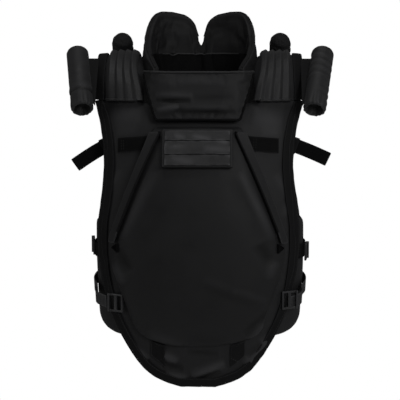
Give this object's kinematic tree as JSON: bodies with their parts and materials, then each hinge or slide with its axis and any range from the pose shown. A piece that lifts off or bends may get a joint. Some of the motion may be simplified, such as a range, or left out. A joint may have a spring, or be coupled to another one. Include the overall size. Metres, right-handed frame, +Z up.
{
  "type": "body armour vest",
  "caption": "Black padded body armour vest with a crowned front plate pocket, throat guard, standing notched collar, ribbed shoulder pads, shoulder rolls and side straps.",
  "frame": {"origin": "midway between the shoulders, level with the undersides of the shoulder saddles, where the vest sits on the wearer", "axes": "+Z up along the wearer's body, -Y the way the wearer faces, +X the wearer's left"},
  "size_m": [0.5336, 0.3216, 0.733],
  "materials": {
    "shell_cloth": "coated plain-weave nylon, black, dull sheen",
    "pocket_cloth": "coated plain-weave nylon, black, stretched smooth",
    "pad_cloth": "padded black nylon, soft sheen",
    "roll_cloth": "padded black nylon, soft sheen",
    "binding_tape": "ribbed black grosgrain tape",
    "panel_webbing": "flat woven tape, black",
    "black_webbing": "dense black webbing, matte",
    "buckle_plastic": "moulded black acetal, satin"
  },
  "bodies": {
    "root": {"front_carrier": "shell_cloth", "front_binding": "binding_tape", "back_carrier": "shell_cloth", "back_binding": "binding_tape", "side_wing_right": "shell_cloth", "side_wing_left": "shell_cloth", "plate_pocket": "pocket_cloth", "chest_panel": "pocket_cloth", "panel_band_top": "panel_webbing", "panel_band_middle": "panel_webbing", "panel_band_bottom": "panel_webbing", "placket_right": "shell_cloth", "placket_left": "shell_cloth", "chest_strip_right": "black_webbing", "chest_strip_left": "black_webbing", "strap_end_right": "black_webbing", "strap_end_left": "black_webbing", "strap_keeper_right": "binding_tape", "strap_keeper_left": "binding_tape", "tail_strap_right": "panel_webbing", "tail_strap_left": "panel_webbing", "throat_guard": "pad_cloth", "neck_collar": "pad_cloth", "saddle_right": "shell_cloth", "saddle_left": "shell_cloth", "saddle_binding_right": "binding_tape", "saddle_binding_left": "binding_tape", "shoulder_pad_right": "pad_cloth", "shoulder_pad_left": "pad_cloth", "front_roll_right": "roll_cloth", "front_roll_left": "roll_cloth", "rear_roll_right": "roll_cloth", "rear_roll_left": "roll_cloth", "roll_flap_right": "binding_tape", "roll_flap_left": "binding_tape", "upper_strap_right": "black_webbing", "upper_strap_left": "black_webbing", "upper_buckle_right": "buckle_plastic", "upper_buckle_left": "buckle_plastic", "lower_strap_right": "black_webbing", "lower_strap_left": "black_webbing", "lower_buckle_right": "buckle_plastic", "lower_buckle_left": "buckle_plastic"}
  },
  "joints": []
}
